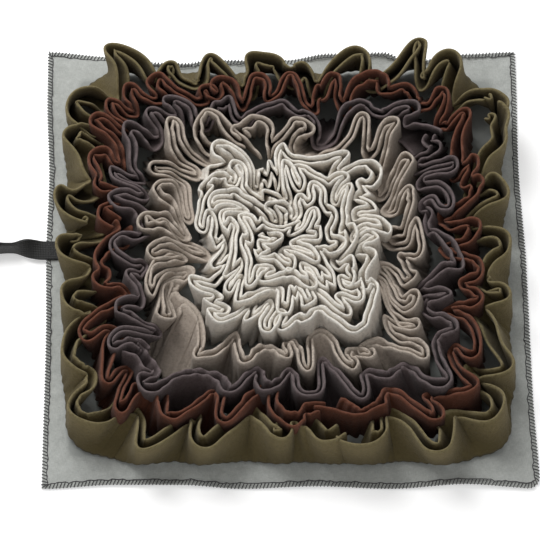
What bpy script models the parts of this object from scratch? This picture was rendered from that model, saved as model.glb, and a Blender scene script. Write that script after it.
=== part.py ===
"""Snuffle mat: fleece strips sewn in nested squares on a felt base, with a webbing loop.

Metres, +Z up. The origin is the middle of the base, on its underside; -Y is the near side.
Places round the mat are counted in sides: 0 to 1 runs along the far side from the left,
1 to 2 along the right side, 2 to 3 back along the near side and 3 to 4 up the left side.
"""
import math

import bmesh
import bpy
from mathutils import Vector

# Base: a flat felt square, slightly out of true
BASE_HALF_X = 0.2505
BASE_HALF_Y = 0.2480
BASE_THICKNESS = 0.002
SKEW = -0.018              # sideways drift of the whole mat for each metre of Y
HEM_WIDTH = 0.016          # the loose margin, just outside the outermost seam
HEM_POINTS_PER_SIDE = 16
ROUNDED_CORNER = 2         # the near right one
CORNER_RADIUS = 0.012
CORNER_CUT = 0.0035        # how far a round of that radius stays inside its corner, each way

# Fleece: each strip is sewn down its middle, so both of its edges stand up
FLEECE_THICKNESS = 0.003
WALL_LENGTH = 0.058        # from the seam to a cut edge
LONGEST_LEAN = 0.046       # how far a lip may lean from its seam
GAP = 0.0003               # between pieces that rest on each other
JOINT_GAP = 0.0060         # between the ends of two strips
STATION = 0.0115           # length of seam for each step of a strip's mesh
CORNER_POWER = 7.0         # how square the rounds are

# Gathers: a swing that all the rings share, and a smaller one of each ring's own
SHARED_SWING = 0.0075
OWN_SWING = 0.0028

# Webbing loop, sewn flat on the left edge and turned on its side beyond it
WEBBING_WIDTH = 0.020
WEBBING_THICKNESS = 0.0015
LOOP_Y = 0.0135
LOOP_SEWN_X = -0.236
LOOP_TWIST_FROM_X = -0.252
LOOP_TWIST_TO_X = -0.286
LOOP_OPEN_FROM_X = -0.290
LOOP_END_X = -0.338
LOOP_HALF_GAP = 0.0095
LOOP_LAYER_OFFSET = 0.0010
LOOP_CLEARANCE = 0.0006
LOOP_STATIONS = 16
LOOP_TURN_STATIONS = 6

# Crests of the olive ring's folds: side, place along the side, reach
CRESTS = [
    (0, 0.12, 1.5), (0, 0.25, 1.0), (0, 0.33, 0.9), (0, 0.41, 1.0),
    (0, 0.51, 1.2), (0, 0.67, 0.8), (0, 0.82, 1.8), (0, 0.93, 0.6),
    (1, 0.06, 1.8), (1, 0.27, 1.0), (1, 0.36, 0.7), (1, 0.62, 1.0),
    (1, 0.74, 1.0), (1, 0.92, 1.2),
    (2, 0.16, 1.0), (2, 0.43, 1.0), (2, 0.67, 1.0), (2, 0.81, 1.3), (2, 0.95, 0.8),
    (3, 0.13, 1.2), (3, 0.26, 1.5), (3, 0.43, 0.5), (3, 0.64, 0.8),
    (3, 0.74, 1.2), (3, 0.87, 1.4),
]

# Rings: seam half width and depth, inward lean of outer and inner lip, share of the
# common swing, folds of its own, their offset, and the places where its strips meet
RINGS = {
    "olive": dict(half_x=0.232, half_y=0.225, outer_lean=0.018, inner_lean=0.029,
                  share=1.00, folds=31, offset=0.4, joints=(1.14, 2.37, 3.56)),
    "rust": dict(half_x=0.201, half_y=0.195, outer_lean=0.018, inner_lean=0.025,
                 share=0.85, folds=37, offset=2.1, joints=(2.42, 3.55)),
    "plum": dict(half_x=0.176, half_y=0.171, outer_lean=0.018, inner_lean=0.028,
                 share=0.65, folds=33, offset=4.0, joints=(1.05, 3.10)),
    "taupe": dict(half_x=0.150, half_y=0.146, outer_lean=0.023, inner_lean=0.034,
                  share=0.50, folds=29, offset=5.2, joints=(0.34, 3.05)),
}

# Cream: one strip wound inwards in a square spiral, which leans less towards its end
CREAM_HALF = 0.112
CREAM_PITCH = 0.0247
CREAM_END = 15.2           # sides wound
CREAM_OUTER_LEAN = 0.018   # on the first turn
CREAM_INNER_LEAN = 0.027
CREAM_SWING = 0.0030
CREAM_FOLD_LENGTH = 0.037
CREAM_STATION = 0.0092

# Hem of the base: side, place along the side, drawn inwards, lifted
HEM_FOLDS = [
    (0, 0.00, 0.000, 0.002), (0, 0.12, 0.005, 0.000), (0, 0.22, 0.014, 0.004),
    (0, 0.28, 0.014, 0.003), (0, 0.34, 0.009, 0.000), (0, 0.43, 0.010, 0.003),
    (0, 0.51, 0.009, 0.000), (0, 0.60, 0.003, 0.004), (0, 0.72, 0.002, 0.005),
    (0, 0.79, 0.012, 0.001), (0, 0.88, 0.003, 0.003),
    (1, 0.00, 0.000, 0.002), (1, 0.30, 0.003, 0.000), (1, 0.50, 0.001, 0.002),
    (1, 0.80, 0.002, 0.000),
    (2, 0.00, 0.000, 0.001), (2, 0.14, 0.004, 0.003), (2, 0.30, 0.000, 0.000),
    (2, 0.45, 0.002, 0.002), (2, 0.60, 0.000, 0.000), (2, 0.72, 0.003, 0.003),
    (2, 0.86, 0.004, 0.001),
    (3, 0.00, 0.000, 0.000), (3, 0.35, 0.002, 0.002), (3, 0.52, 0.001, 0.000),
    (3, 0.70, 0.003, 0.002), (3, 0.88, 0.000, 0.003),
]

# Finishes: colour, roughness
FINISHES = {
    "felt_grey": ((0.36, 0.38, 0.36), 0.95),
    "fleece_olive": ((0.105, 0.088, 0.042), 0.95),
    "fleece_rust": ((0.105, 0.032, 0.018), 0.95),
    "fleece_plum": ((0.085, 0.065, 0.075), 0.95),
    "fleece_taupe": ((0.29, 0.24, 0.19), 0.95),
    "fleece_cream": ((0.62, 0.58, 0.52), 0.95),
    "webbing_black": ((0.020, 0.020, 0.022), 0.80),
}


def smooth_step(start, end, value):
    """Return 0 before start, 1 past end, and an S curve between."""
    fraction = min(max((value - start) / (end - start), 0.0), 1.0)
    return fraction * fraction * (3.0 - 2.0 * fraction)


def square_direction(place):
    """Return the point of the square from -1 to 1 at this place round the mat."""
    side, along = divmod(place % 4.0, 1.0)
    sweep = 2.0 * along - 1.0
    return [(sweep, 1.0), (1.0, -sweep), (-sweep, -1.0), (-1.0, sweep)][int(side)]


def seam_point(place, half_x, half_y, z):
    """Return a point of a rounded square of these half sizes."""
    x, y = square_direction(place)
    size = (abs(x) ** CORNER_POWER + abs(y) ** CORNER_POWER) ** (1.0 / CORNER_POWER)
    world_y = half_y * y / size
    return Vector((half_x * x / size + SKEW * world_y, world_y, z))


def table_at(rows, place):
    """Read a closed table of (place, values...) with S curves between its rows."""
    places = [row[0] for row in rows] + [rows[0][0] + 4.0]
    turned = place % 4.0
    if turned < places[0]:
        turned += 4.0
    index = max(i for i in range(len(rows)) if places[i] <= turned)
    after = rows[(index + 1) % len(rows)]
    blend = smooth_step(places[index], places[index + 1], turned)
    return [a + (b - a) * blend for a, b in zip(rows[index][1:], after[1:])]


CREST_ROWS = [(side + along, reach) for side, along, reach in CRESTS]
HEM_ROWS = [(side + along, inward, lift) for side, along, inward, lift in HEM_FOLDS]


def shared_swing(place):
    """Return the common swing of the folds: +1 on a crest, about -1 between crests."""
    places = [row[0] for row in CREST_ROWS] + [CREST_ROWS[0][0] + 4.0]
    turned = place % 4.0
    if turned < places[0]:
        turned += 4.0
    index = max(i for i in range(len(CREST_ROWS)) if places[i] <= turned)
    fraction = (turned - places[index]) / (places[index + 1] - places[index])
    wave = math.cos(2.0 * math.pi * fraction)
    return wave * (table_at(CREST_ROWS, place)[0] if wave > 0.0 else 1.0)


def own_swing(ring, place):
    """Return the smaller folds that belong to one ring only."""
    turn = 2.0 * math.pi * place / 4.0
    return math.cos(ring["folds"] * turn + ring["offset"] + 1.5 * math.sin(3.0 * turn))


def lip_point(seam, place, half_x, half_y, inward):
    """Return the cut edge above a seam point; the wall's length gives its height."""
    lean = seam_point(place, half_x - inward, half_y - inward, seam.z) - seam
    if lean.length > LONGEST_LEAN:
        lean *= LONGEST_LEAN / lean.length
    lean.z = math.sqrt(WALL_LENGTH ** 2 - lean.length ** 2)
    return seam + lean


SEAM_Z = BASE_THICKNESS + GAP + FLEECE_THICKNESS / 2.0


def ring_point(ring, place, row):
    """Return a point of a ring: row -1 is its outer lip, 0 its seam, 1 its inner lip."""
    seam = seam_point(place, ring["half_x"], ring["half_y"], SEAM_Z)
    if row == 0:
        return seam
    lean = ring["outer_lean"] if row < 0 else ring["inner_lean"]
    swing = ring["share"] * SHARED_SWING * shared_swing(place)
    swing += OWN_SWING * own_swing(ring, place)
    return lip_point(seam, place, ring["half_x"], ring["half_y"], lean - swing)


def cream_point(place, row):
    """Return a point of the cream spiral; place runs on past one turn."""
    half = CREAM_HALF - CREAM_PITCH * place / 4.0
    seam = seam_point(place, half, half, SEAM_Z)
    if row == 0:
        return seam
    lean = (CREAM_OUTER_LEAN if row < 0 else CREAM_INNER_LEAN) * half / CREAM_HALF
    wound = 2.0 * (CREAM_HALF * place - CREAM_PITCH * place ** 2 / 8.0)
    swing = CREAM_SWING * math.cos(2.0 * math.pi * wound / CREAM_FOLD_LENGTH
                                   + 1.2 * math.sin(wound / 0.05))
    return lip_point(seam, place, half, half, lean - swing)


def make_material(name):
    """Make one Principled material."""
    colour, roughness = FINISHES[name]
    material = bpy.data.materials.new(name)
    material.use_nodes = True
    shader = material.node_tree.nodes["Principled BSDF"]
    shader.inputs["Base Color"].default_value = (*colour, 1.0)
    shader.inputs["Roughness"].default_value = roughness
    shader.inputs["Metallic"].default_value = 0.0
    material.diffuse_color = (*colour, 1.0)
    return material


def finish_sheet(sheet, name, finish, collection, thickness, offset):
    """Name an open surface, cut its faces into triangles and give it thickness."""
    sheet.name = name
    sheet.data.name = name
    cage = bmesh.new()
    cage.from_mesh(sheet.data)
    bmesh.ops.triangulate(cage, faces=cage.faces, quad_method="FIXED")
    cage.to_mesh(sheet.data)
    cage.free()
    sheet.data.materials.clear()
    sheet.data.materials.append(make_material(finish))
    solid = sheet.modifiers.new("thickness", "SOLIDIFY")
    solid.thickness = thickness
    solid.offset = offset
    for other in list(sheet.users_collection):
        other.objects.unlink(sheet)
    collection.objects.link(sheet)


def make_grid(steps_along, steps_across):
    """Add a flat grid one metre square."""
    bpy.ops.mesh.primitive_grid_add(x_subdivisions=steps_along,
                                    y_subdivisions=steps_across, size=1.0)
    return bpy.context.object


def add_strip(collection, name, finish, start, end, steps, place_point):
    """Sew one strip between two places, as a V that stands along its seam."""
    strip = make_grid(steps, 2)
    for vertex in strip.data.vertices:
        place = start + (vertex.co.x + 0.5) * (end - start)
        vertex.co = place_point(place, round(2.0 * vertex.co.y))
    finish_sheet(strip, name, finish, collection, FLEECE_THICKNESS, 0.0)


def add_ring(collection, colour):
    """Sew the strips of one colour end to end round their square."""
    ring = RINGS[colour]
    side_length = ring["half_x"] + ring["half_y"]
    half_gap = JOINT_GAP / side_length / 2.0
    starts = ring["joints"]
    ends = starts[1:] + (starts[0] + 4.0,)
    for number, (start, end) in enumerate(zip(starts, ends), start=1):
        steps = round((end - start) * side_length / STATION)
        add_strip(collection, f"{colour}_strip_{number}", f"fleece_{colour}",
                  start + half_gap, end - half_gap, steps,
                  lambda place, row: ring_point(ring, place, row))


def add_cream(collection):
    """Wind the cream strip inwards."""
    length = 2.0 * (CREAM_HALF * CREAM_END - CREAM_PITCH * CREAM_END ** 2 / 8.0)
    add_strip(collection, "cream_strip", "fleece_cream", 0.0, CREAM_END,
              round(length / CREAM_STATION), cream_point)


def hem_point(place, inset):
    """Return a point of the base, this far in from its edge."""
    x, y = square_direction(place)
    inward, lift = table_at(HEM_ROWS, place)
    loose = 1.0 - inset / HEM_WIDTH
    if place == ROUNDED_CORNER:
        inward += CORNER_CUT
    world_y = (BASE_HALF_Y - inset - inward * loose) * y
    world_x = (BASE_HALF_X - inset - inward * loose) * x
    return Vector((world_x + SKEW * world_y, world_y, lift * loose))


def hem_place(number):
    """Return the place of a hem point; two of them mark the ends of the rounded corner."""
    steps_from_corner = number - ROUNDED_CORNER * HEM_POINTS_PER_SIDE
    if abs(steps_from_corner) <= 1:
        return ROUNDED_CORNER + steps_from_corner * CORNER_RADIUS / (2.0 * BASE_HALF_X)
    return number / HEM_POINTS_PER_SIDE


def add_base(collection):
    """Cut the felt square: a flat middle, and a hem that waves round it."""
    count = 4 * HEM_POINTS_PER_SIDE
    bpy.ops.mesh.primitive_circle_add(vertices=count, radius=1.0, fill_type="NOTHING")
    base = bpy.context.object
    cage = bmesh.new()
    cage.from_mesh(base.data)
    cage.verts.ensure_lookup_table()
    outline = list(cage.verts)
    inner = bmesh.ops.extrude_edge_only(cage, edges=cage.edges[:])["geom"]
    inner_rim = [item for item in inner if isinstance(item, bmesh.types.BMEdge)
                 and not any(vertex in outline for vertex in item.verts)]
    for number, vertex in enumerate(outline):
        place = hem_place(number)
        partner = next(edge.other_vert(vertex) for edge in vertex.link_edges
                       if edge.other_vert(vertex) not in outline)
        vertex.co = hem_point(place, 0.0)
        partner.co = hem_point(place, HEM_WIDTH)
    bmesh.ops.contextual_create(cage, geom=inner_rim)
    bmesh.ops.recalc_face_normals(cage, faces=cage.faces)
    if sum(face.normal.z for face in cage.faces) < 0.0:
        bmesh.ops.reverse_faces(cage, faces=cage.faces)
    cage.to_mesh(base.data)
    cage.free()
    finish_sheet(base, "felt_base", "felt_grey", collection, BASE_THICKNESS, 1.0)


def webbing_frame(x, layer):
    """Return the middle of a webbing layer at x, and the direction of its width."""
    turn = smooth_step(LOOP_TWIST_FROM_X, LOOP_TWIST_TO_X, x) * math.pi / 2.0
    spread = smooth_step(LOOP_OPEN_FROM_X, LOOP_END_X, x)
    offset = LOOP_LAYER_OFFSET + (LOOP_HALF_GAP - LOOP_LAYER_OFFSET) * spread
    off_base = smooth_step(-BASE_HALF_X - 0.004, LOOP_TWIST_TO_X, x)
    bottom = (BASE_THICKNESS + GAP) * (1.0 - off_base) + LOOP_CLEARANCE * off_base
    stack = LOOP_LAYER_OFFSET + WEBBING_THICKNESS / 2.0
    middle_z = bottom + WEBBING_WIDTH / 2.0 * math.sin(turn) + stack * math.cos(turn)
    middle = Vector((x, LOOP_Y - layer * offset * math.sin(turn),
                     middle_z + layer * offset * math.cos(turn)))
    return middle, Vector((0.0, math.cos(turn), math.sin(turn)))


def webbing_path():
    """Follow the webbing out along one layer, round the end and back along the other."""
    leg = LOOP_END_X - LOOP_SEWN_X
    out = [webbing_frame(LOOP_SEWN_X + leg * step / LOOP_STATIONS, 1)
           for step in range(LOOP_STATIONS + 1)]
    back = [webbing_frame(LOOP_SEWN_X + leg * step / LOOP_STATIONS, -1)
            for step in range(LOOP_STATIONS, -1, -1)]
    centre_z = out[-1][0].z
    upright = out[-1][1]
    bend = []
    for step in range(1, LOOP_TURN_STATIONS):
        angle = math.pi * step / LOOP_TURN_STATIONS
        bend.append((Vector((LOOP_END_X - LOOP_HALF_GAP * math.sin(angle),
                             LOOP_Y - LOOP_HALF_GAP * math.cos(angle), centre_z)), upright))
    return out + bend + back


def add_loop(collection):
    """Make the webbing loop from one strip, with both ends sewn on the base."""
    path = webbing_path()
    loop = make_grid(len(path) - 1, 1)
    for vertex in loop.data.vertices:
        middle, width = path[round((vertex.co.x + 0.5) * (len(path) - 1))]
        vertex.co = middle + width * WEBBING_WIDTH * vertex.co.y
    finish_sheet(loop, "webbing_loop", "webbing_black", collection, WEBBING_THICKNESS, 0.0)


def main():
    for old in list(bpy.data.objects):
        bpy.data.objects.remove(old, do_unlink=True)
    collection = bpy.data.collections.new("snuffle_mat")
    bpy.context.scene.collection.children.link(collection)
    add_base(collection)
    for colour in RINGS:
        add_ring(collection, colour)
    add_cream(collection)
    add_loop(collection)


main()
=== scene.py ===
# %% [markdown]
# # A snuffle mat
#
# A snuffle mat is a square of felt with strips of fleece sewn on edge. A dog noses through
# the fleece for treats. Each strip is sewn down its middle, so both of its cut edges stand
# up, and it is gathered as it is sewn, so the edges snake. This lesson makes the cloth by
# placing the seams first, then letting the edges grow longer until they crowd each other.

# %% Load the fixed frame
import math

import bpy
import numpy as np
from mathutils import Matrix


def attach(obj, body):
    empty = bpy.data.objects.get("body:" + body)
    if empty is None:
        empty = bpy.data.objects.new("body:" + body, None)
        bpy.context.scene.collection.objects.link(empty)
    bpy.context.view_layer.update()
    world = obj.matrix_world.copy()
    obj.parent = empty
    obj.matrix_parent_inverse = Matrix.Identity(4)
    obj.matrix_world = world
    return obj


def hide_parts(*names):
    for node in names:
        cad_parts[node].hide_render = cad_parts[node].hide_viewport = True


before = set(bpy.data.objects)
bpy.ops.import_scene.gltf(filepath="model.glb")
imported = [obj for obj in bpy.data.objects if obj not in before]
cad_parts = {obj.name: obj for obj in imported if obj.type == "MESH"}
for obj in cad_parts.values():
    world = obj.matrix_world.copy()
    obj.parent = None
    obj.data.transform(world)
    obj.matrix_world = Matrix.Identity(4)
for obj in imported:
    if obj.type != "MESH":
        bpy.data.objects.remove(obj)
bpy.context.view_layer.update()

print("nodes:", sorted(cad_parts))

# %% [markdown]
# ## Sizes
#
# The base is 50 cm square and a little out of true: a sewn square always is. The strips are
# sewn in nested squares, so one function gives a point of a square with rounded corners, and
# every seam is that function with its own half sizes. Places round the mat are counted in
# sides: 0 to 1 is the far side, then the right, the near and the left side.

# %% Driving sizes, in metres
BASE_HALF_X = 0.2505
BASE_HALF_Y = 0.2480
BASE_THICKNESS = 0.002
SKEW = -0.018
HEM_WIDTH = 0.016
CORNER_RADIUS = 0.012
CORNER_POWER = 9.0
FLEECE_THICKNESS = 0.0037
WALL_LENGTH = 0.058
SEAM_Z = BASE_THICKNESS + 0.0018
LONGEST_LEAN = 0.049
POINT_STEP = 0.0036
WALL_ROWS = 5
rng = np.random.default_rng(7)

# %% Crests of the folds that all the rings share: side, place along it, reach
CRESTS = [
    (0, 0.12, 1.5), (0, 0.25, 1.0), (0, 0.33, 0.9), (0, 0.41, 1.0),
    (0, 0.51, 1.2), (0, 0.67, 0.8), (0, 0.82, 1.8), (0, 0.93, 0.6),
    (1, 0.06, 1.8), (1, 0.27, 1.0), (1, 0.36, 0.7), (1, 0.62, 1.0),
    (1, 0.74, 1.0), (1, 0.92, 1.2),
    (2, 0.16, 1.0), (2, 0.43, 1.0), (2, 0.67, 1.0), (2, 0.81, 1.3), (2, 0.95, 0.8),
    (3, 0.13, 1.2), (3, 0.26, 1.5), (3, 0.43, 0.5), (3, 0.64, 0.8),
    (3, 0.74, 1.2), (3, 0.87, 1.4),
]
CREST_PLACES = np.array([side + along for side, along, _ in CRESTS])
CREST_REACHES = np.array([reach for _, _, reach in CRESTS])
print(len(CRESTS), "shared folds")

# %% The rings, from the outside in
# lean: how far the lips' middle line stands inside the seam; pair: gap of the two lips;
# folds: for the far, right, near and left side, the length of cloth in a fold and its turn
RINGS = {
    "olive": dict(half=(0.232, 0.225), lean=0.027, swing=0.0060, pair=0.0140, wander=0.40,
                  folds=((0.084, 1.30), (0.110, 1.20), (0.118, 1.08), (0.110, 1.25)),
                  joints=(1.14, 2.37, 3.56)),
    "rust": dict(half=(0.201, 0.195), lean=0.020, swing=0.0040, pair=0.0085, wander=0.60,
                 folds=((0.066, 1.50), (0.080, 1.40), (0.098, 1.10), (0.080, 1.45)),
                 joints=(2.42, 3.55)),
    "plum": dict(half=(0.176, 0.171), lean=0.022, swing=0.0030, pair=0.0075, wander=0.75,
                 folds=((0.074, 1.50), (0.082, 1.55), (0.088, 1.30), (0.084, 1.60)),
                 joints=(1.05, 3.10)),
    "taupe": dict(half=(0.150, 0.146), lean=0.033, swing=0.0020, pair=0.0064, wander=0.90,
                  folds=((0.120, 1.75), (0.108, 1.95), (0.086, 1.75), (0.122, 1.80)),
                  joints=(0.34, 3.05)),
}
CREAM = dict(half=0.112, pitch=0.0247, end=16.2, lean=0.023, pair=0.0062, wander=1.25,
             folds=((0.058, 1.50), (0.062, 1.55), (0.058, 1.50), (0.062, 1.55)))
STEEPEST = 2.05            # radians: past this a fold would cross itself

# %% Single folds that stand out: ring, place, spread, how far out they reach
LANDMARKS = [
    ("olive", 0.125, 0.028, 0.016), ("olive", 0.820, 0.040, 0.026),
    ("olive", 1.150, 0.030, 0.022), ("olive", 3.870, 0.040, 0.010),
    ("olive", 3.260, 0.050, 0.010), ("olive", 3.130, 0.030, 0.008),
    ("plum", 3.700, 0.120, 0.008), ("plum", 0.620, 0.060, -0.010),
    ("taupe", 0.220, 0.070, 0.014), ("taupe", 0.900, 0.090, 0.010),
]


# %% [markdown]
# ## Seams and folds as formulas
#
# A superellipse makes the rounded squares: a point of the plain square is divided by a
# power sum, which pulls only the corners in. The folds start as small waves; each is a
# cosine whose phase runs from one crest to the next, so crests fall where they are wanted.

# %% Points of a rounded square
def square_points(places, half_x, half_y):
    side = np.floor(places % 4.0)
    sweep = 2.0 * (places % 1.0) - 1.0
    x = np.choose(side.astype(int), [sweep, 1.0 + 0 * sweep, -sweep, -1.0 + 0 * sweep])
    y = np.choose(side.astype(int), [1.0 + 0 * sweep, -sweep, -1.0 + 0 * sweep, sweep])
    size = (np.abs(x) ** CORNER_POWER + np.abs(y) ** CORNER_POWER) ** (1.0 / CORNER_POWER)
    world_y = half_y * y / size
    return np.stack([half_x * x / size + SKEW * world_y, world_y], axis=1)


# %% The shared swing of the folds
def shared_swing(places):
    starts = np.append(CREST_PLACES, CREST_PLACES[0] + 4.0)
    reaches = np.append(CREST_REACHES, CREST_REACHES[0])
    turned = places % 4.0
    turned = np.where(turned < starts[0], turned + 4.0, turned)
    index = np.searchsorted(starts, turned, side="right") - 1
    index = np.clip(index, 0, len(CREST_PLACES) - 1)
    fraction = (turned - starts[index]) / (starts[index + 1] - starts[index])
    blend = fraction * fraction * (3.0 - 2.0 * fraction)
    reach = reaches[index] * (1.0 - blend) + reaches[index + 1] * blend
    wave = np.cos(2.0 * math.pi * fraction)
    return np.where(wave > 0.0, wave * reach, wave)


def landmark_reach(name, places):
    total = np.zeros_like(places)
    for ring, centre, spread, reach in LANDMARKS:
        if ring == name:
            away = (places - centre + 2.0) % 4.0 - 2.0
            total += reach * np.exp(-(away / spread) ** 2)
    return total


def slow_noise(along, pitch, phase):
    """A smooth uneven wave from -1 to 1."""
    turn = 2.0 * math.pi * along / pitch
    return (np.sin(turn + phase) + 0.8 * np.sin(1.618 * turn + 2.3 * phase)
            + 0.6 * np.sin(2.718 * turn + 4.1 * phase)) / 2.0


# %% [markdown]
# ## Folds as meanders
#
# A gathered edge is longer than the seam under it, so it snakes like a slow river. A river's
# curve has a short formula: its heading swings as a sine of the distance along it. With a
# small turn the folds are gentle, and past a right angle they bulge into loops. Walking
# along the cloth in equal steps with that heading gives a lip that has its real length.

# %% Walk along a meander
def side_values(ring, places):
    """Fold length and turn at each place, blended from side to side."""
    table = np.array(ring["folds"])
    spot = places % 4.0 - 0.5
    low = np.floor(spot).astype(int)
    blend = spot - low
    blend = (blend * blend * (3.0 - 2.0 * blend))[:, None]
    return (table[low % 4] * (1.0 - blend) + table[(low + 1) % 4] * blend).T


def running_mean(values, width):
    width = int(width) // 2 * 2 + 1
    padded = np.pad(values, width // 2, mode="reflect", reflect_type="odd")
    return np.convolve(padded, np.ones(width) / width, mode="valid")


def meander(ring, path_length, place_at, phase):
    """Path distance and sideways distance for each step of cloth."""
    travelled, sideways, turned = 0.0, 0.0, phase
    steps = []
    while travelled < path_length:
        along = len(steps) * POINT_STEP
        fold, heading = side_values(ring, place_at(np.array([travelled])))
        fold = fold[0] * (1.0 + 0.55 * slow_noise(along, 0.21, phase))
        heading = heading[0] * (1.0 + 0.45 * slow_noise(along, 0.17, phase + 1.7))
        turned += 2.0 * math.pi * POINT_STEP / fold
        angle = heading * math.sin(turned)
        angle += ring["wander"] * slow_noise(along, 0.105, phase + 0.6)
        angle = STEEPEST * math.tanh(angle / STEEPEST)
        travelled += POINT_STEP * math.cos(angle)
        sideways += POINT_STEP * math.sin(angle)
        steps.append((travelled, sideways))
    steps = np.array(steps)
    mean_fold = float(np.mean([fold for fold, _ in ring["folds"]]))
    window = 1.5 * mean_fold / POINT_STEP
    steps[:, 1] -= running_mean(steps[:, 1], window)
    return steps, running_mean(steps[:, 0], window)


# %% One record for each strip
strips = []


def add_strip(name, colour, ring, start, end, half_at):
    scan = np.linspace(start, end, 4001)
    path = square_points(scan, *half_at(scan))
    travel = np.append(0.0, np.cumsum(np.linalg.norm(np.diff(path, axis=0), axis=1)))
    phase = 1.9 * len(strips) + 0.5
    steps, seam_travel = meander(ring, travel[-1],
                                 lambda distance: np.interp(distance, travel, scan), phase)
    places = np.interp(np.clip(steps[:, 0], 0.0, travel[-1]), travel, scan)
    seam_places = np.interp(np.clip(seam_travel, 0.0, travel[-1]), travel, scan)
    half_x, half_y = half_at(places)
    fullness = half_x / np.max(half_x)
    out = steps[:, 1] - ring["lean"] * fullness + ring.get("swing", 0.0) * shared_swing(places)
    out = out + landmark_reach(colour, places)
    middle = square_points(places, half_x + out, half_y + out)
    ahead = np.gradient(middle, axis=0)
    ahead /= np.linalg.norm(ahead, axis=1)[:, None]
    outward = np.column_stack([-ahead[:, 1], ahead[:, 0]])
    lips = [middle + 0.5 * ring["pair"] * outward, middle - 0.5 * ring["pair"] * outward]
    count = len(places)
    strips.append(dict(name=name, colour=colour, lips=lips, count=count,
                       seam=square_points(seam_places, *half_at(seam_places)),
                       length=count * POINT_STEP, gather=count * POINT_STEP / travel[-1]))


for colour, ring in RINGS.items():
    joints = ring["joints"]
    for number, (start, end) in enumerate(zip(joints, joints[1:] + (joints[0] + 4.0,)), 1):
        add_strip(f"{colour}_strip_{number}", colour, ring, start - 0.004, end + 0.004,
                  lambda places, half=ring["half"]: half)
add_strip("cream_strip", "cream", CREAM, 0.0, CREAM["end"],
          lambda places: (CREAM["half"] - CREAM["pitch"] * places / 4.0,) * 2)
for strip in strips:
    print(strip["name"], strip["count"], "steps, gathered", round(strip["gather"], 2))

# %% [markdown]
# ## Letting the edges crowd
#
# The meanders were laid out one by one and look too regular. A few slow waves first slide
# them sideways, all together: a slide moves neighbours alike, so it adds hardly a crossing.
# Neighbours still cross, so then each lip is a chain seen from above. Points of different
# folds push apart, the push is shared along the chain so that bends stay round, and the
# links keep their length. It ends the same every time.

# %% Swirl the folds, as hands push them about
SWIRLS = 9
SWIRL_WAVES = (0.055, 0.120)   # shortest and longest, in metres
SWIRL_SIZE = 0.0070            # in the middle of the mat
SWIRL_FADE_FROM = 0.10         # distance from the middle where the swirls begin to fade
SWIRL_FADE_OVER = 0.09
SWIRL_FADE = 0.62
swirl_rng = np.random.default_rng(11)


def swirl(spots):
    """Slide the points sideways along waves, one wave after another."""
    spots = spots.copy()
    for _ in range(SWIRLS):
        angle = swirl_rng.uniform(0.0, math.pi)
        wave = 2.0 * math.pi / swirl_rng.uniform(*SWIRL_WAVES)
        start = swirl_rng.uniform(0.0, 2.0 * math.pi)
        across = np.array([math.cos(angle), math.sin(angle)])
        along = np.array([-across[1], across[0]])
        reach = np.max(np.abs(spots), axis=1)
        faded = np.clip((reach - SWIRL_FADE_FROM) / SWIRL_FADE_OVER, 0.0, 1.0)
        size = SWIRL_SIZE * (1.0 - SWIRL_FADE * faded)
        spots += (size * np.sin(wave * (spots @ across) + start))[:, None] * along
    return spots


# %% Chains for all the lips
KEEP_APART = 0.0054
TETHER = 0.004
PASSES = 240

homes = swirl(np.concatenate([lip for strip in strips for lip in strip["lips"]]))
points = homes.copy()
chain = np.concatenate([np.full(strip["count"], 2 * i + k)
                        for i, strip in enumerate(strips) for k in (0, 1)])
first = np.concatenate([[0], np.cumsum([2 * strip["count"] for strip in strips])])
links = np.flatnonzero(chain[:-1] == chain[1:])
inner_points = np.flatnonzero(chain[:-2] == chain[2:]) + 1
print("points:", len(points))


# %% Find the pairs of points that are near each other
def near_pairs(spots, reach):
    order = np.argsort(spots[:, 0], kind="stable")
    ordered = spots[order]
    found = []
    for step in range(1, len(spots)):
        gap = ordered[step:] - ordered[:-step]
        close_x = gap[:, 0] < reach
        if not close_x.any():
            break
        hit = np.flatnonzero(close_x & (np.abs(gap[:, 1]) < reach))
        found.append(np.stack([order[hit], order[hit + step]], 1))
    pairs = np.concatenate(found)
    same = chain[pairs[:, 0]] == chain[pairs[:, 1]]
    return pairs[~(same & (np.abs(pairs[:, 0] - pairs[:, 1]) < 4))]


def push_pairs(ones, others, rest, strength, only_apart):
    gap = points[others] - points[ones]
    size = np.linalg.norm(gap, axis=1) + 1e-9
    error = size - rest
    if only_apart:
        error = np.minimum(error, 0.0)
    move = (0.5 * strength * error / size)[:, None] * gap
    np.add.at(points, ones, move)
    np.add.at(points, others, -move)


# %% Push the folds apart
for number in range(PASSES):
    if number % 5 == 0:
        crowd = near_pairs(points, 1.8 * KEEP_APART)
    push_pairs(crowd[:, 0], crowd[:, 1], KEEP_APART, 0.6, True)
    shift = points - homes
    for _ in range(3):
        bend = 0.5 * (shift[inner_points - 1] + shift[inner_points + 1]) - shift[inner_points]
        shift[inner_points] += 0.5 * bend
    points[:] = homes + shift * (1.0 - TETHER)
    for start in (0, 1):
        some = links[start::2]
        push_pairs(some, some + 1, POINT_STEP, 0.8, False)
for _ in range(12):
    push_pairs(crowd[:, 0], crowd[:, 1], KEEP_APART, 0.6, True)
    push_pairs(links, links + 1, POINT_STEP, 0.4, False)
for strip, start in zip(strips, first):
    count = strip["count"]
    strip["grown"] = [points[start:start + count], points[start + count:start + 2 * count]]
print("furthest push:", round(1000.0 * float(np.linalg.norm(points - homes, axis=1).max()), 1),
      "mm")
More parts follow.
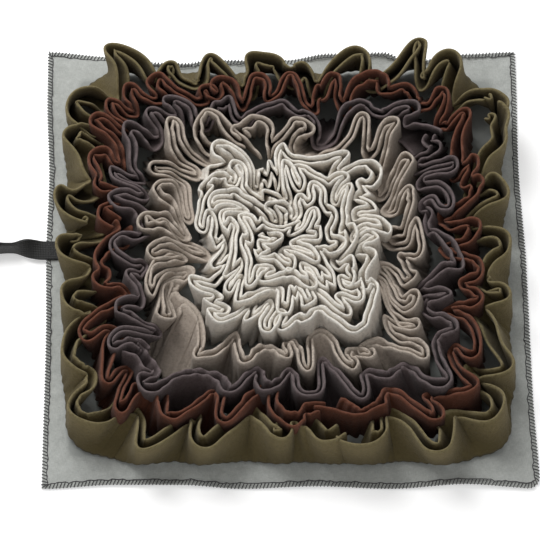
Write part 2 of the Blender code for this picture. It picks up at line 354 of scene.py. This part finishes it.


# %% [markdown]
# ## Colour and nap
#
# Fleece is a brushed knit. Up close it is a mat of fine tufts with no shine. The cut edge is
# painted paler, a painted highlight where it catches light, and the wall is painted darker
# towards its seam and in the pits of the nap, which is painted shade. The shader maths is
# written as Python sums on a small class that stands for a socket, so a material reads like
# a formula.

# %% A small class for shader sums
class Value:
    def __init__(self, tree, socket):
        self.tree = tree
        self.socket = socket

    def node(self, kind, settings=None, **sockets):
        made = self.tree.nodes.new(kind)
        for key, setting in (settings or {}).items():
            setattr(made, key, setting)
        for key, value in sockets.items():
            target = made.inputs[int(key[1:])] if key[1:].isdigit() else made.inputs[
                key.replace("_", " ")]
            if isinstance(value, Value):
                self.tree.links.new(value.socket, target)
            else:
                target.default_value = value
        return made

    def math(self, operation, other=0.0, swap=False, clamp=False):
        left, right = (other, self) if swap else (self, other)
        made = self.node("ShaderNodeMath", dict(operation=operation, use_clamp=clamp),
                         i0=left, i1=right)
        return Value(self.tree, made.outputs[0])

    def __add__(self, other):
        return self.math("ADD", other)

    def __sub__(self, other):
        return self.math("SUBTRACT", other)

    def __rsub__(self, other):
        return self.math("SUBTRACT", other, swap=True)

    def __mul__(self, other):
        return self.math("MULTIPLY", other)

    __radd__ = __add__
    __rmul__ = __mul__

    def ramp(self, low, high):
        """0 below low, 1 above high, smooth between."""
        made = self.node("ShaderNodeMapRange", dict(interpolation_type="SMOOTHSTEP"),
                         i0=self, i1=low, i2=high)
        return Value(self.tree, made.outputs[0])

    def noise(self, scale, detail=3.0, rough=0.6):
        made = self.node("ShaderNodeTexNoise", None, Vector=self, Scale=scale,
                         Detail=detail, Roughness=rough)
        return Value(self.tree, made.outputs[0])

    def mix(self, dark, light):
        """Mix two colours by this value."""
        made = self.node("ShaderNodeMix", dict(data_type="RGBA"), i0=self, i6=dark, i7=light)
        return Value(self.tree, made.outputs[2])

    def part(self, axis):
        made = self.node("ShaderNodeSeparateXYZ", None, i0=self)
        return Value(self.tree, made.outputs[axis])

    def stretched(self, scale):
        made = self.node("ShaderNodeMapping", None, Vector=self, Scale=scale)
        return Value(self.tree, made.outputs[0])

    def bump(self, distance, strength=1.0):
        made = self.node("ShaderNodeBump", None, Height=self, Distance=distance,
                         Strength=strength)
        return Value(self.tree, made.outputs[0])


# %% Start a material
def start_material(name, sheen, sheen_rough=0.5, specular=0.15):
    material = bpy.data.materials.new(name)
    material.use_nodes = True
    tree = material.node_tree
    shader = tree.nodes["Principled BSDF"]
    shader.inputs["Sheen Weight"].default_value = sheen
    shader.inputs["Sheen Roughness"].default_value = sheen_rough
    shader.inputs["Specular IOR Level"].default_value = specular
    coords = tree.nodes.new("ShaderNodeTexCoord")
    place = Value(tree, coords.outputs["Object"])
    flat = Value(tree, coords.outputs["UV"])
    return material, shader, place, flat


def finish_material(shader, colour, roughness, normal):
    tree = colour.tree
    tree.links.new(colour.socket, shader.inputs["Base Color"])
    tree.links.new(normal.socket, shader.inputs["Normal"])
    if isinstance(roughness, Value):
        tree.links.new(roughness.socket, shader.inputs["Roughness"])
    else:
        shader.inputs["Roughness"].default_value = roughness


# %% Fleece in five colours: wall, and a paler cut edge that is a painted highlight
FLEECE = {
    "olive": ((0.134, 0.104, 0.044), (0.205, 0.170, 0.088)),
    "rust": ((0.112, 0.037, 0.019), (0.160, 0.062, 0.038)),
    "plum": ((0.098, 0.074, 0.073), (0.155, 0.123, 0.124)),
    "taupe": ((0.345, 0.290, 0.242), (0.520, 0.450, 0.382)),
    "cream": ((0.740, 0.685, 0.610), (0.860, 0.825, 0.755)),
}
# Painted shade: how far each fleece wall is painted darker towards its seam
DEEP_SHADE = {"olive": 0.65, "rust": 0.65, "plum": 0.65, "taupe": 0.40, "cream": 0.25}


def make_fleece(colour):
    wall, edge = FLEECE[colour]
    material, shader, place, flat = start_material(f"fleece_{colour}", 0.07)
    across = (flat.part(1) - WALL_LENGTH).math("ABSOLUTE")
    # Painted highlight: the colour is painted paler towards the cut edge, where the lips catch
    # the lamp
    lip = across.ramp(WALL_LENGTH - 0.0065, WALL_LENGTH - 0.0005)
    tufts = place.noise(1500.0, 3.0, 0.7)
    clumps = place.noise(330.0, 2.0)
    drift = place.noise(28.0, 2.0)
    light = lip * 0.85 + (clumps - 0.5) * 0.55 + (tufts - 0.5) * 0.55 + (drift - 0.5) * 0.30
    # Painted shade: a darker copy of the wall colour, painted into the pits of the nap
    painted_shade_colour = tuple(0.5 * part for part in wall) + (1.0,)
    base = light.math("ADD", 0.0, clamp=True).mix((*wall, 1.0), (*edge, 1.0))
    pits = (tufts * 0.6 + clumps * 0.4).ramp(0.30, 0.52)
    # Painted shade: the wall is painted darker towards its seam, where the folds shade it
    deep = across.ramp(0.2 * WALL_LENGTH, 0.9 * WALL_LENGTH)
    shade = DEEP_SHADE[colour]
    colour_out = (pits * (deep * shade + (1.0 - shade))).mix(painted_shade_colour, base)
    nap = tufts * 0.65 + clumps * 0.9
    finish_material(shader, colour_out, 0.95, nap.bump(0.0011, 0.9))
    return material


fleeces = {colour: make_fleece(colour) for colour in FLEECE}
print("fleeces:", sorted(fleeces))

# %% [markdown]
# ## Building a strip
#
# A strip starts as a flat grid. Its middle row lies on the seam, and the rows above climb
# to the lips that were grown. Cloth doesn't stretch, so a lip that leans further from its
# seam stands lower. Solidify gives the fleece its thickness, and one subdivision rounds
# the cut edges.

# %% Mesh of one strip
PLEAT_DEPTH = 1.60         # of the tucks along a seam, in steps of cloth
PLEAT_DEPTH_OLIVE = 0.45   # shallower, because the outermost seam is in plain view
FULL_GATHER = 0.85         # extra cloth at which the tucks are at their deepest


def wall_rows(seam, lip, height):
    """Rows of points from the seam up to the lip."""
    rows = []
    for row in range(1, WALL_ROWS + 1):
        rise = row / WALL_ROWS
        lean = rise ** 0.68
        flat_point = seam + (lip - seam) * lean
        rows.append(np.column_stack([flat_point, SEAM_Z + height * rise ** 1.05]))
    return rows


def lip_height(seam, lip, number):
    lean = np.linalg.norm(lip - seam, axis=1)
    lean = np.minimum(lean, LONGEST_LEAN)
    steps = np.arange(len(lean))
    uneven = 0.0015 * np.sin(steps * 0.071 + number) + 0.0010 * np.sin(steps * 0.187 + 2 * number)
    return np.sqrt(WALL_LENGTH ** 2 - lean ** 2) - 0.0025 + uneven


def build_strip(number, strip):
    count = strip["count"]
    bpy.ops.object.select_all(action="DESELECT")
    bpy.ops.mesh.primitive_grid_add(x_subdivisions=count - 1, y_subdivisions=2 * WALL_ROWS,
                                    size=1.0)
    piece = bpy.context.object
    piece.name = f"{strip['name']}_fleece"
    mesh = piece.data
    mesh.name = piece.name
    seam = strip["seam"].copy()
    steps = np.arange(count)
    depth = PLEAT_DEPTH_OLIVE if strip["colour"] == "olive" else PLEAT_DEPTH
    tuck = depth * POINT_STEP * min(1.0, (strip["gather"] - 1.0) / FULL_GATHER)
    pleat = tuck * np.sin(0.5 * math.pi * steps + 2.4 * np.sin(0.13 * steps)
                          + 1.6 * np.sin(0.051 * steps + number))
    pleat *= 0.75 + 0.25 * np.sin(0.31 * steps + number)
    seam += pleat[:, None] * seam / (np.linalg.norm(seam, axis=1) + 1e-9)[:, None]
    outer, inner = strip["grown"]
    down = wall_rows(seam, outer, lip_height(seam, outer, number))[::-1]
    middle = [np.column_stack([seam, np.full(count, SEAM_Z)])]
    up = wall_rows(seam, inner, lip_height(seam, inner, number + 3))
    surface = np.stack(down + middle + up)
    spots = np.empty(len(mesh.vertices) * 3)
    mesh.vertices.foreach_get("co", spots)
    spots = spots.reshape(-1, 3)
    column = np.rint((spots[:, 0] + 0.5) * (count - 1)).astype(int)
    row = np.rint((spots[:, 1] + 0.5) * 2 * WALL_ROWS).astype(int)
    mesh.vertices.foreach_set("co", surface[row, column].ravel())
    stretch = np.empty(len(mesh.uv_layers[0].data) * 2)
    mesh.uv_layers[0].data.foreach_get("uv", stretch)
    stretch = stretch.reshape(-1, 2) * (strip["length"], 2.0 * WALL_LENGTH)
    mesh.uv_layers[0].data.foreach_set("uv", stretch.ravel())
    mesh.update()
    thick = piece.modifiers.new("thickness", "SOLIDIFY")
    thick.thickness = FLEECE_THICKNESS
    thick.offset = 0.0
    smooth = piece.modifiers.new("rounding", "SUBSURF")
    smooth.levels = 1
    smooth.render_levels = 1
    bpy.ops.object.modifier_apply(modifier=thick.name)
    bpy.ops.object.modifier_apply(modifier=smooth.name)
    bpy.ops.object.shade_smooth()
    mesh = piece.data
    mesh.materials.clear()
    mesh.materials.append(fleeces[strip["colour"]])
    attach(piece, "root")
    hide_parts(strip["name"])
    print(piece.name, "faces", len(mesh.polygons), "flat length", round(strip["length"], 3))


for number, strip in enumerate(strips):
    build_strip(number, strip)

# %% [markdown]
# ## The felt base
#
# The base is one square of felt. It is flat where the strips are sewn, and its margin lifts
# and draws in a little, because the overlock stitch pulls on the edge. A table holds those
# waves. Small puckers run in from the seam.

# %% Hem of the base: side, place along it, drawn inwards, lifted
HEM_FOLDS = [
    (0, 0.00, 0.000, 0.002), (0, 0.12, 0.005, 0.000), (0, 0.22, 0.014, 0.004),
    (0, 0.28, 0.014, 0.003), (0, 0.34, 0.009, 0.000), (0, 0.43, 0.010, 0.003),
    (0, 0.51, 0.009, 0.000), (0, 0.60, 0.003, 0.004), (0, 0.72, 0.002, 0.005),
    (0, 0.79, 0.012, 0.001), (0, 0.88, 0.003, 0.003),
    (1, 0.00, 0.000, 0.002), (1, 0.30, 0.003, 0.000), (1, 0.50, 0.001, 0.002),
    (1, 0.80, 0.002, 0.000),
    (2, 0.00, 0.000, 0.001), (2, 0.14, 0.004, 0.003), (2, 0.30, 0.000, 0.000),
    (2, 0.45, 0.002, 0.002), (2, 0.60, 0.000, 0.000), (2, 0.72, 0.003, 0.003),
    (2, 0.86, 0.004, 0.001),
    (3, 0.00, 0.000, 0.000), (3, 0.35, 0.002, 0.002), (3, 0.52, 0.001, 0.000),
    (3, 0.70, 0.003, 0.002), (3, 0.88, 0.000, 0.003),
]
HEM_PLACES = np.array([side + along for side, along, _, _ in HEM_FOLDS])
HEM_VALUES = np.array([row[2:] for row in HEM_FOLDS])
BASE_CELLS = 150


def hem_at(places):
    starts = np.append(HEM_PLACES, HEM_PLACES[0] + 4.0)
    values = np.vstack([HEM_VALUES, HEM_VALUES[:1]])
    turned = places % 4.0
    index = np.clip(np.searchsorted(starts, turned, side="right") - 1, 0, len(HEM_PLACES) - 1)
    fraction = (turned - starts[index]) / (starts[index + 1] - starts[index])
    blend = (fraction * fraction * (3.0 - 2.0 * fraction))[:, None]
    return values[index] * (1.0 - blend) + values[index + 1] * blend


# %% Places of base points
def place_of(square):
    """The place round the mat of each point of the square from -1 to 1."""
    x, y = square[:, 0], square[:, 1]
    reach = np.maximum(np.maximum(np.abs(x), np.abs(y)), 1e-9)
    u, v = x / reach, y / reach
    far = np.where(v >= 0.9999999, 0.5 + 0.5 * u, 0.0)
    right = np.where((u >= 0.9999999) & (v < 0.9999999), 1.5 - 0.5 * v, 0.0)
    near = np.where((v <= -0.9999999) & (u < 0.9999999), 2.5 - 0.5 * u, 0.0)
    left = np.where((u <= -0.9999999) & (np.abs(v) < 0.9999999), 3.5 + 0.5 * v, 0.0)
    return far + right + near + left


def base_points(square):
    """World places of points of the base's underside."""
    reach = np.max(np.abs(square), axis=1)
    inset = (1.0 - reach) * BASE_HALF_Y
    places = place_of(square)
    inward, lift = hem_at(places).T
    loose = np.clip(1.0 - inset / HEM_WIDTH, 0.0, 1.0)
    y = (BASE_HALF_Y - inward * loose) * square[:, 1]
    x = (BASE_HALF_X - inward * loose) * square[:, 0]
    edge_x, edge_y = BASE_HALF_X - CORNER_RADIUS, -(BASE_HALF_Y - CORNER_RADIUS)
    past_x, past_y = np.maximum(x - edge_x, 0.0), np.minimum(y - edge_y, 0.0)
    past = np.hypot(past_x, past_y)
    pull = np.where(past > CORNER_RADIUS, CORNER_RADIUS / np.maximum(past, 1e-9), 1.0)
    x = np.where(past_x * past_y < 0.0, edge_x + past_x * pull, x)
    y = np.where(past_x * past_y < 0.0, edge_y + past_y * pull, y)
    run = places * 0.5
    pucker = (np.sin(run * 2.0 * math.pi / 0.019 + 3.0 * np.sin(run * 21.0))
              * np.sin(run * 2.0 * math.pi / 0.061 + 1.0))
    band = np.exp(-((inset - 0.017) / 0.009) ** 2)
    z = lift * loose ** 1.5 + 0.0011 * band * (pucker + 1.0) * 0.5
    return np.column_stack([x + SKEW * y, y, z])


# %% The base as a fine grid
bpy.ops.object.select_all(action="DESELECT")
bpy.ops.mesh.primitive_grid_add(x_subdivisions=BASE_CELLS, y_subdivisions=BASE_CELLS, size=2.0)
base = bpy.context.object
base.name = "felt_base_cloth"
spots = np.empty(len(base.data.vertices) * 3)
base.data.vertices.foreach_get("co", spots)
base.data.vertices.foreach_set("co", base_points(spots.reshape(-1, 3)[:, :2]).ravel())
base.data.update()
thick = base.modifiers.new("thickness", "SOLIDIFY")
thick.thickness = BASE_THICKNESS
thick.offset = 1.0
bpy.ops.object.modifier_apply(modifier=thick.name)
bpy.ops.object.shade_smooth_by_angle(angle=math.radians(50))

# %% [markdown]
# Felt is pressed fibres with no weave. Its colour is mottled at two scales, and short
# fibres lie every way, so one noise is stretched along X and another along Y.

# %% Felt
material, shader, place, flat = start_material("felt_grey", 0.10)
fibres_x = place.stretched((260.0, 2100.0, 900.0)).noise(1.0, 3.0, 0.65)
fibres_y = place.stretched((1900.0, 300.0, 900.0)).noise(1.0, 3.0, 0.65)
mottle = place.noise(140.0, 3.0, 0.65)
cloud = place.noise(22.0, 2.0)
light = (0.5 + (fibres_x - 0.5) * 0.9 + (fibres_y - 0.5) * 0.9
         + (mottle - 0.5) * 0.7 + (cloud - 0.5) * 0.5)
# Painted shade: inside the outermost seam the felt is painted darker, as the strips shade it
under = (place.part(0).math("ABSOLUTE").ramp(0.226, 0.212)
         * place.part(1).math("ABSOLUTE").ramp(0.219, 0.205))
light = light * (1.0 - under * 0.9) - under * 0.7
grey = light.math("MAXIMUM", -0.75).mix((0.300, 0.312, 0.296, 1.0),
                                        (0.530, 0.545, 0.520, 1.0))
finish_material(shader, grey, 0.95, (fibres_x + fibres_y + mottle).bump(0.0006, 0.8))
base.data.materials.clear()
base.data.materials.append(material)
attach(base, "root")
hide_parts("felt_base")

# %% [markdown]
# ## Overlock stitches
#
# An overlock machine wraps thread round the raw edge. Each stitch crosses the hem at a
# slant, goes over the edge and comes back underneath. The stitches are splines of one curve,
# round in section, and the curve is turned into a mesh.

# %% A curve object of round thread
THREAD_RADIUS = 0.00046
STITCH_PITCH = 0.0036
STITCH_WIDTH = 0.0048


def thread_piece(name, runs, radius):
    curve = bpy.data.curves.new(name, "CURVE")
    curve.dimensions = "3D"
    curve.bevel_depth = radius
    curve.bevel_resolution = 1
    curve.use_fill_caps = True
    for run in runs:
        spline = curve.splines.new("POLY")
        spline.points.add(len(run) - 1)
        for point, spot in zip(spline.points, run):
            point.co = (*spot, 1.0)
    piece = bpy.data.objects.new(name, curve)
    bpy.context.scene.collection.objects.link(piece)
    bpy.ops.object.select_all(action="DESELECT")
    piece.select_set(True)
    bpy.context.view_layer.objects.active = piece
    bpy.ops.object.convert(target="MESH")
    piece = bpy.context.object
    bpy.ops.object.mode_set(mode="EDIT")
    bpy.ops.mesh.select_all(action="SELECT")
    bpy.ops.mesh.remove_doubles(threshold=0.00001)
    bpy.ops.object.mode_set(mode="OBJECT")
    bpy.ops.object.shade_smooth()
    return piece


# %% Follow the edge of the base
def square_edge(places):
    side = np.floor(places % 4.0).astype(int)
    sweep = 2.0 * (places % 1.0) - 1.0
    one = np.ones_like(sweep)
    return np.column_stack([np.choose(side, [sweep, one, -sweep, -one]),
                            np.choose(side, [one, -sweep, -one, sweep])])


scan = np.linspace(0.0, 4.0, 4001)[:-1]
edge = base_points(square_edge(scan))
closed = np.vstack([edge, edge[:1]])
travelled = np.append(0.0, np.cumsum(np.linalg.norm(np.diff(closed[:, :2], axis=0), axis=1)))
stitch_count = int(travelled[-1] / STITCH_PITCH)
at = np.linspace(0.0, travelled[-1], stitch_count, endpoint=False)
stitch_edge = np.column_stack([np.interp(at, travelled, closed[:, k]) for k in range(3)])
ahead = np.roll(stitch_edge, -2, axis=0) - np.roll(stitch_edge, 2, axis=0)
ahead[:, 2] = 0.0
ahead /= np.linalg.norm(ahead, axis=1)[:, None]
inside = np.column_stack([ahead[:, 1], -ahead[:, 0], np.zeros(stitch_count)])
stitch_runs = []
for spot, along, inwards in zip(stitch_edge, ahead, inside):
    uneven = 1.0 + 0.12 * rng.standard_normal()
    width = STITCH_WIDTH * uneven
    top, under = BASE_THICKNESS + 0.00025, 0.00015
    profile = [(width, -0.0013, top - 0.0002), (0.6 * width, -0.0004, top + 0.0003),
               (0.25 * width, 0.0004, top + 0.0004), (-0.0003, 0.0010, top),
               (-0.0006, 0.0012, 0.5 * top), (-0.0002, 0.0010, under),
               (0.8 * STITCH_WIDTH, 0.0000, under)]
    stitch_runs.append([spot + inwards * inset + along * drift + (0.0, 0.0, up)
                        for inset, drift, up in profile])
inner_line = [run[0] for run in stitch_runs]
chain_line = [spot + (0.0, 0.0, 0.0001) for spot in inner_line + inner_line[:1]]
stitches = thread_piece("overlock_stitches", stitch_runs + [chain_line], THREAD_RADIUS)
print("stitches:", stitch_count, "faces:", len(stitches.data.polygons))

# %% Thread finish
material, shader, place, flat = start_material("overlock_thread", 0.15, specular=0.25)
twist = place.noise(1700.0, 2.0)
shade = (twist * 0.7 + place.noise(180.0, 2.0) * 0.6 - 0.15).math("ADD", 0.0, clamp=True)
thread_colour = shade.mix((0.012, 0.012, 0.013, 1.0), (0.105, 0.102, 0.106, 1.0))
finish_material(shader, thread_colour, 0.80, twist.bump(0.0003, 0.8))
thread_finish = material
stitches.data.materials.clear()
stitches.data.materials.append(thread_finish)
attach(stitches, "root")

# %% [markdown]
# ## The webbing loop
#
# Both ends of a piece of webbing are sewn flat on the left edge, one on the other. Beyond
# the edge the pair turns on its side, opens into a loop and comes back.

# %% Sizes of the loop
WEBBING_WIDTH = 0.020
WEBBING_THICKNESS = 0.0015
LOOP_Y = 0.0135
LOOP_SEWN_X = -0.2335
LOOP_TWIST_FROM_X = -0.252
LOOP_TWIST_TO_X = -0.286
LOOP_OPEN_FROM_X = -0.290
LOOP_END_X = -0.338
LOOP_HALF_GAP = 0.0095
LOOP_LAYER_OFFSET = 0.0010
LOOP_CLEARANCE = 0.0006
LOOP_STATIONS = 60
LOOP_TURN_STATIONS = 24
LOOP_ACROSS = 8


def smooth_step(start, end, value):
    fraction = min(max((value - start) / (end - start), 0.0), 1.0)
    return fraction * fraction * (3.0 - 2.0 * fraction)


def webbing_frame(x, layer):
    turn = smooth_step(LOOP_TWIST_FROM_X, LOOP_TWIST_TO_X, x) * math.pi / 2.0
    spread = smooth_step(LOOP_OPEN_FROM_X, LOOP_END_X, x)
    offset = LOOP_LAYER_OFFSET + (LOOP_HALF_GAP - LOOP_LAYER_OFFSET) * spread
    off_base = smooth_step(-BASE_HALF_X - 0.004, LOOP_TWIST_TO_X, x)
    bottom = (BASE_THICKNESS + 0.0003) * (1.0 - off_base) + LOOP_CLEARANCE * off_base
    stack = LOOP_LAYER_OFFSET + WEBBING_THICKNESS / 2.0
    middle_z = bottom + WEBBING_WIDTH / 2.0 * math.sin(turn) + stack * math.cos(turn)
    middle = np.array([x, LOOP_Y - layer * offset * math.sin(turn),
                       middle_z + layer * offset * math.cos(turn)])
    return middle, np.array([0.0, math.cos(turn), math.sin(turn)])


# %% Path and mesh of the webbing
leg = np.linspace(LOOP_SEWN_X, LOOP_END_X, LOOP_STATIONS)
path = [webbing_frame(x, 1) for x in leg]
turn_z, upright = path[-1][0][2], path[-1][1]
for angle in np.linspace(0.0, math.pi, LOOP_TURN_STATIONS)[1:-1]:
    path.append((np.array([LOOP_END_X - LOOP_HALF_GAP * math.sin(angle),
                           LOOP_Y - LOOP_HALF_GAP * math.cos(angle), turn_z]), upright))
path += [webbing_frame(x, -1) for x in leg[::-1]]
bpy.ops.object.select_all(action="DESELECT")
bpy.ops.mesh.primitive_grid_add(x_subdivisions=len(path) - 1, y_subdivisions=LOOP_ACROSS,
                                size=1.0)
webbing = bpy.context.object
webbing.name = "webbing_loop_tape"
middles = np.array([middle for middle, _ in path])
widths = np.array([width for _, width in path])
spots = np.empty(len(webbing.data.vertices) * 3)
webbing.data.vertices.foreach_get("co", spots)
spots = spots.reshape(-1, 3)
column = np.rint((spots[:, 0] + 0.5) * (len(path) - 1)).astype(int)
placed = middles[column] + widths[column] * (WEBBING_WIDTH * spots[:, 1:2])
webbing.data.vertices.foreach_set("co", placed.ravel())
tape_length = float(np.linalg.norm(np.diff(middles, axis=0), axis=1).sum())
layer = webbing.data.uv_layers[0].data
stretch = np.empty(len(layer) * 2)
layer.foreach_get("uv", stretch)
layer.foreach_set("uv", (stretch.reshape(-1, 2) * (tape_length, WEBBING_WIDTH)).ravel())
webbing.data.update()
thick = webbing.modifiers.new("thickness", "SOLIDIFY")
thick.thickness = WEBBING_THICKNESS
thick.offset = 0.0
rounding = webbing.modifiers.new("rounding", "BEVEL")
rounding.width = 0.0003
rounding.segments = 2
bpy.ops.object.modifier_apply(modifier=thick.name)
bpy.ops.object.modifier_apply(modifier=rounding.name)
bpy.ops.object.shade_smooth_by_angle(angle=math.radians(50))
print("tape length:", round(tape_length, 3))

# %% Ribbed webbing finish
material, shader, place, flat = start_material("webbing_black", 0.12, specular=0.35)
ribs = (flat.part(0) * (2.0 * math.pi / 0.0017)).math("SINE")
rows = (flat.part(1) * (2.0 * math.pi / 0.0026)).math("SINE")
yarn = flat.noise(1500.0, 2.0)
height = ribs * 0.35 + rows * 0.25 + yarn * 0.6
black = (height * 0.45 + 0.30).math("ADD", 0.0, clamp=True).mix(
    (0.006, 0.006, 0.006, 1.0), (0.030, 0.031, 0.030, 1.0))
finish_material(shader, black, 0.62, height.bump(0.0005, 0.9))
webbing.data.materials.clear()
webbing.data.materials.append(material)
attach(webbing, "root")
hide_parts("webbing_loop")

# %% Rows of stitching that hold the webbing down
SEW_PITCH = 0.0026
SEW_TOP = BASE_THICKNESS + 0.0003 + 2.0 * (LOOP_LAYER_OFFSET + WEBBING_THICKNESS / 2.0)
sew_runs = []
corners = [(-0.2355, 0.0065), (-0.2355, 0.0205), (-0.2480, 0.0205), (-0.2480, 0.0065)]
rows_of_stitches = [(corners[k], corners[(k + 1) % 4]) for k in range(4)]
rows_of_stitches += [(corners[0], corners[2]), (corners[1], corners[3])]
for start, end in rows_of_stitches:
    start, end = np.array(start), np.array(end)
    length = np.linalg.norm(end - start)
    for step in range(int(length / SEW_PITCH)):
        a = start + (end - start) * (step + 0.12) * SEW_PITCH / length
        b = start + (end - start) * (step + 0.88) * SEW_PITCH / length
        sew_runs.append([(*a, SEW_TOP - 0.0002), (*(0.7 * a + 0.3 * b), SEW_TOP + 0.0002),
                         (*(0.3 * a + 0.7 * b), SEW_TOP + 0.0002), (*b, SEW_TOP - 0.0002)])
sewing = thread_piece("loop_stitching", sew_runs, 0.00026)
sewing.data.materials.clear()
sewing.data.materials.append(thread_finish)
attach(sewing, "root")
print("loop stitches:", len(sew_runs))

# %% [markdown]
# ## Floor, light and camera
#
# A pale floor and a bright, even sky give soft shade deep in the folds. One wide lamp from
# the far left gives the lips a lit side. The camera looks down steeply from the near side.

# %% Floor
bpy.ops.object.select_all(action="DESELECT")
bpy.ops.mesh.primitive_plane_add(size=30.0, location=(0.0, 0.0, -0.0005))
floor = bpy.context.object
floor.name = "floor"
material = bpy.data.materials.new("floor_pale")
material.use_nodes = True
shader = material.node_tree.nodes["Principled BSDF"]
shader.inputs["Base Color"].default_value = (0.93, 0.93, 0.93, 1.0)
shader.inputs["Roughness"].default_value = 1.0
shader.inputs["Specular IOR Level"].default_value = 0.0
shader.inputs["Emission Color"].default_value = (1.0, 1.0, 1.0, 1.0)
shader.inputs["Emission Strength"].default_value = 0.30
floor.data.materials.append(material)

# %% Sky and lamp
world = bpy.data.worlds.new("studio")
bpy.context.scene.world = world
world.use_nodes = True
world.node_tree.nodes["Background"].inputs["Color"].default_value = (1.0, 1.0, 1.0, 1.0)
world.node_tree.nodes["Background"].inputs["Strength"].default_value = 0.55
lamp_data = bpy.data.lights.new("window", "AREA")
lamp_data.energy = 30.0
lamp_data.size = 1.1
lamp = bpy.data.objects.new("window", lamp_data)
lamp.location = (-0.7, 1.0, 1.5)
bpy.context.scene.collection.objects.link(lamp)
aim = -np.array(lamp.location)
lamp.rotation_euler = (math.atan2(math.hypot(aim[0], aim[1]), -aim[2]), 0.0,
                       math.atan2(aim[1], aim[0]) - math.pi / 2.0)
bpy.context.scene.view_settings.view_transform = "Standard"

# %% Camera
CAMERA_TILT = math.radians(66.0)
CAMERA_AWAY = 3.0
AIM_X, AIM_Y = -0.0167, -0.0068
camera_data = bpy.data.cameras.new("camera")
camera_data.lens = 192.0
camera_data.sensor_width = 36.0
camera = bpy.data.objects.new("camera", camera_data)
camera.location = (AIM_X, AIM_Y - CAMERA_AWAY * math.cos(CAMERA_TILT),
                   CAMERA_AWAY * math.sin(CAMERA_TILT))
camera.rotation_euler = (math.pi / 2.0 - CAMERA_TILT, 0.0, 0.0)
bpy.context.scene.collection.objects.link(camera)
bpy.context.scene.camera = camera
